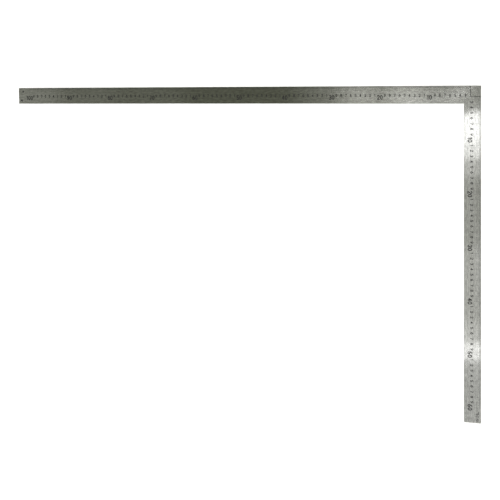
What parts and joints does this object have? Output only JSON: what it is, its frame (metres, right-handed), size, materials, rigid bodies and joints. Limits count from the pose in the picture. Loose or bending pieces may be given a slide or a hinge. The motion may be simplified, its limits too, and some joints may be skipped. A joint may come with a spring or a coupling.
{
  "type": "steel square ruler",
  "caption": "Flat L-shaped steel square with a centimetre scale along the outer edge of each arm, for marking and cutting at a right angle.",
  "frame": {"origin": "the outer corner, where both scales read zero, on the underside", "axes": "+X along the long arm, +Y along the short arm, +Z out of the graduated face"},
  "size_m": [1.028, 0.629, 0.002],
  "materials": {
    "brushed_stainless": "brushed along the arms, satin",
    "black_enamel": "black marking enamel, satin"
  },
  "bodies": {
    "root": {"blade": "brushed_stainless", "corner_square_lines": "black_enamel", "long_mm_lines": "black_enamel", "long_half_cm_lines": "black_enamel", "long_cm_lines": "black_enamel", "long_ten_cm_lines": "black_enamel", "long_small_numerals": "black_enamel", "long_large_numerals": "black_enamel", "short_mm_lines": "black_enamel", "short_half_cm_lines": "black_enamel", "short_cm_lines": "black_enamel", "short_ten_cm_lines": "black_enamel", "short_small_numerals": "black_enamel", "short_large_numerals": "black_enamel", "end_dot": "black_enamel", "unit_mark": "black_enamel"}
  },
  "joints": []
}
